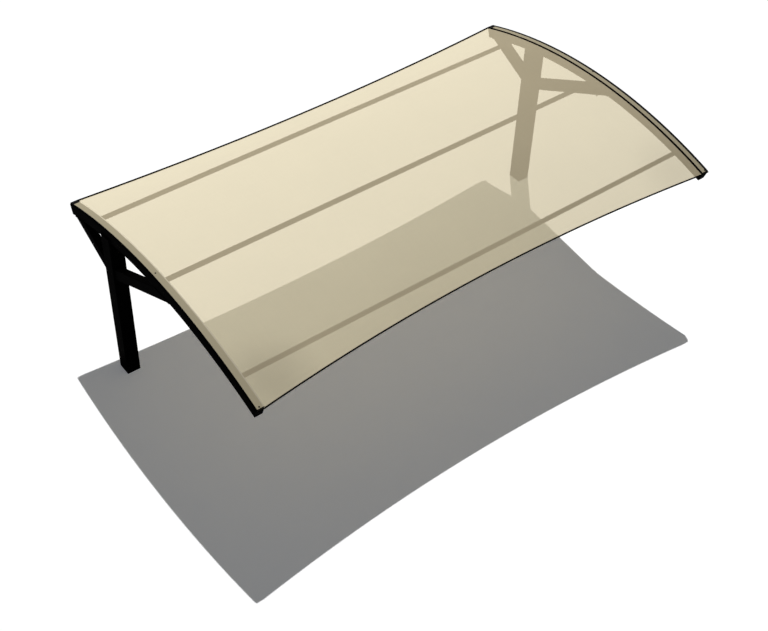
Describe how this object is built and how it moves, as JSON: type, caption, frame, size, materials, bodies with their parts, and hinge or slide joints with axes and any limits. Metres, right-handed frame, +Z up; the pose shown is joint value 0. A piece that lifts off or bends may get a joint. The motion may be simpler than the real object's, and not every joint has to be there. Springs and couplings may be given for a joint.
{
  "type": "cantilever carport",
  "caption": "Cantilever carport with braced rear posts, arched beams, purlins and a translucent membrane roof with bowed-in free edges.",
  "frame": {"origin": "centre of the left post's foot, on the ground", "axes": "+X runs along the length to the right post, -Y is the open front, +Z is up"},
  "size_m": [6.6, 3.969, 2.3786],
  "materials": {
    "painted_steel": "satin black powder coat",
    "bolt_steel": "black coated fasteners",
    "black_plastic": "moulded black plugs",
    "clamp_aluminium": "matt bronze-beige anodised",
    "membrane_fabric": "translucent coated sand-coloured membrane",
    "edge_cable_cover": "black sheathed cable"
  },
  "bodies": {
    "root": {"left_post": "painted_steel", "left_post_foot": "painted_steel", "left_back_brace": "painted_steel", "left_front_brace": "painted_steel", "left_arched_beam": "painted_steel", "right_post": "painted_steel", "right_post_foot": "painted_steel", "right_back_brace": "painted_steel", "right_front_brace": "painted_steel", "right_arched_beam": "painted_steel", "back_purlin": "painted_steel", "middle_purlin": "painted_steel", "front_purlin": "painted_steel", "left_back_brace_bolt": "bolt_steel", "left_front_brace_bolt": "bolt_steel", "left_clamp_screws": "bolt_steel", "right_back_brace_bolt": "bolt_steel", "right_front_brace_bolt": "bolt_steel", "right_clamp_screws": "bolt_steel", "left_beam_back_cap": "black_plastic", "left_beam_front_cap": "black_plastic", "right_beam_back_cap": "black_plastic", "right_beam_front_cap": "black_plastic", "left_clamp_bar": "clamp_aluminium", "right_clamp_bar": "clamp_aluminium", "roof_membrane": "membrane_fabric", "back_edge_cable": "edge_cable_cover", "front_edge_cable": "edge_cable_cover"}
  },
  "joints": []
}
